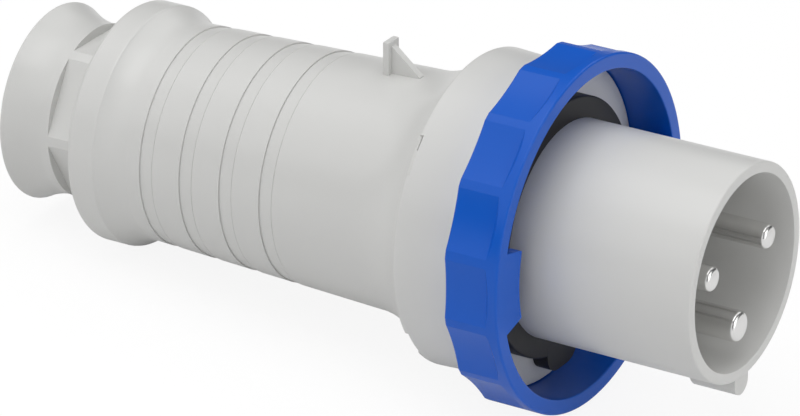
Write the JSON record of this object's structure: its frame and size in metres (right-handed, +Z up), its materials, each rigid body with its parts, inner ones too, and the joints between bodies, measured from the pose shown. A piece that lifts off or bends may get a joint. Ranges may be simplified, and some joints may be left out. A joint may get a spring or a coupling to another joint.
{
  "type": "industrial pin and sleeve plug",
  "caption": "Round industrial power plug: keyed sleeve around the contact pins, turning locking ring with finger scallops, long grooved grip with a tab, and a flared cable gland nut.",
  "frame": {"origin": "centre of the bottom of the bounding box; the plug lies on a table as it comes to rest, on two ridges of the locking ring and the heel of the grip", "axes": "+X towards the mouth of the sleeve, level; +Z up, through the tab; the plug's own axis rises 6.551 degrees from the level towards the mouth"},
  "size_m": [0.26, 0.115, 0.1155],
  "materials": {
    "light_grey_plastic": "fine satin moulded thermoplastic",
    "blue_plastic": "smooth satin moulded thermoplastic",
    "black_rubber": "matte moulded elastomer",
    "mid_grey_plastic": "matte moulded thermoplastic",
    "plated_brass": "bright nickel plating",
    "zinc_plated_steel": "zinc plating"
  },
  "bodies": {
    "plug": {"front_housing": "light_grey_plastic", "flange_gasket": "black_rubber", "contact_carrier": "mid_grey_plastic", "carrier_seal": "black_rubber", "grip": "light_grey_plastic", "grip_seal": "black_rubber", "gland_grommet": "black_rubber", "phase_pin_left": "plated_brass", "phase_pin_right": "plated_brass", "earth_pin": "plated_brass", "phase_terminal_screw_left_1": "zinc_plated_steel", "phase_terminal_screw_left_2": "zinc_plated_steel", "phase_terminal_screw_right_1": "zinc_plated_steel", "phase_terminal_screw_right_2": "zinc_plated_steel", "earth_terminal_screw_1": "zinc_plated_steel", "earth_terminal_screw_2": "zinc_plated_steel", "carrier_screw_left": "zinc_plated_steel", "carrier_screw_right": "zinc_plated_steel"},
    "ring": {"locking_ring": "blue_plastic"},
    "thrust_washer": {"gland_washer": "mid_grey_plastic"},
    "nut": {"gland_nut": "light_grey_plastic"}
  },
  "joints": [
    {"name": "ring_turn", "type": "hinge", "parent": "plug", "child": "ring", "pos_m": [0.06632, 0, 0.05773], "axis": [0.9935, 0, 0.1141], "range_deg": [0, 55]},
    {"name": "gland_travel", "type": "slide", "parent": "plug", "child": "thrust_washer", "axis": [0.9935, 0, 0.1141], "range_m": [-0.0091, 0]},
    {"name": "gland_turn", "type": "hinge", "parent": "thrust_washer", "child": "nut", "pos_m": [-0.09263, 0, 0.03948], "axis": [0.9935, 0, 0.1141], "range_deg": [-1080, 0]}
  ],
  "couplings": [
    {"joint": "gland_travel", "follows": "gland_turn", "m_per_rad": 0.00047746}
  ]
}
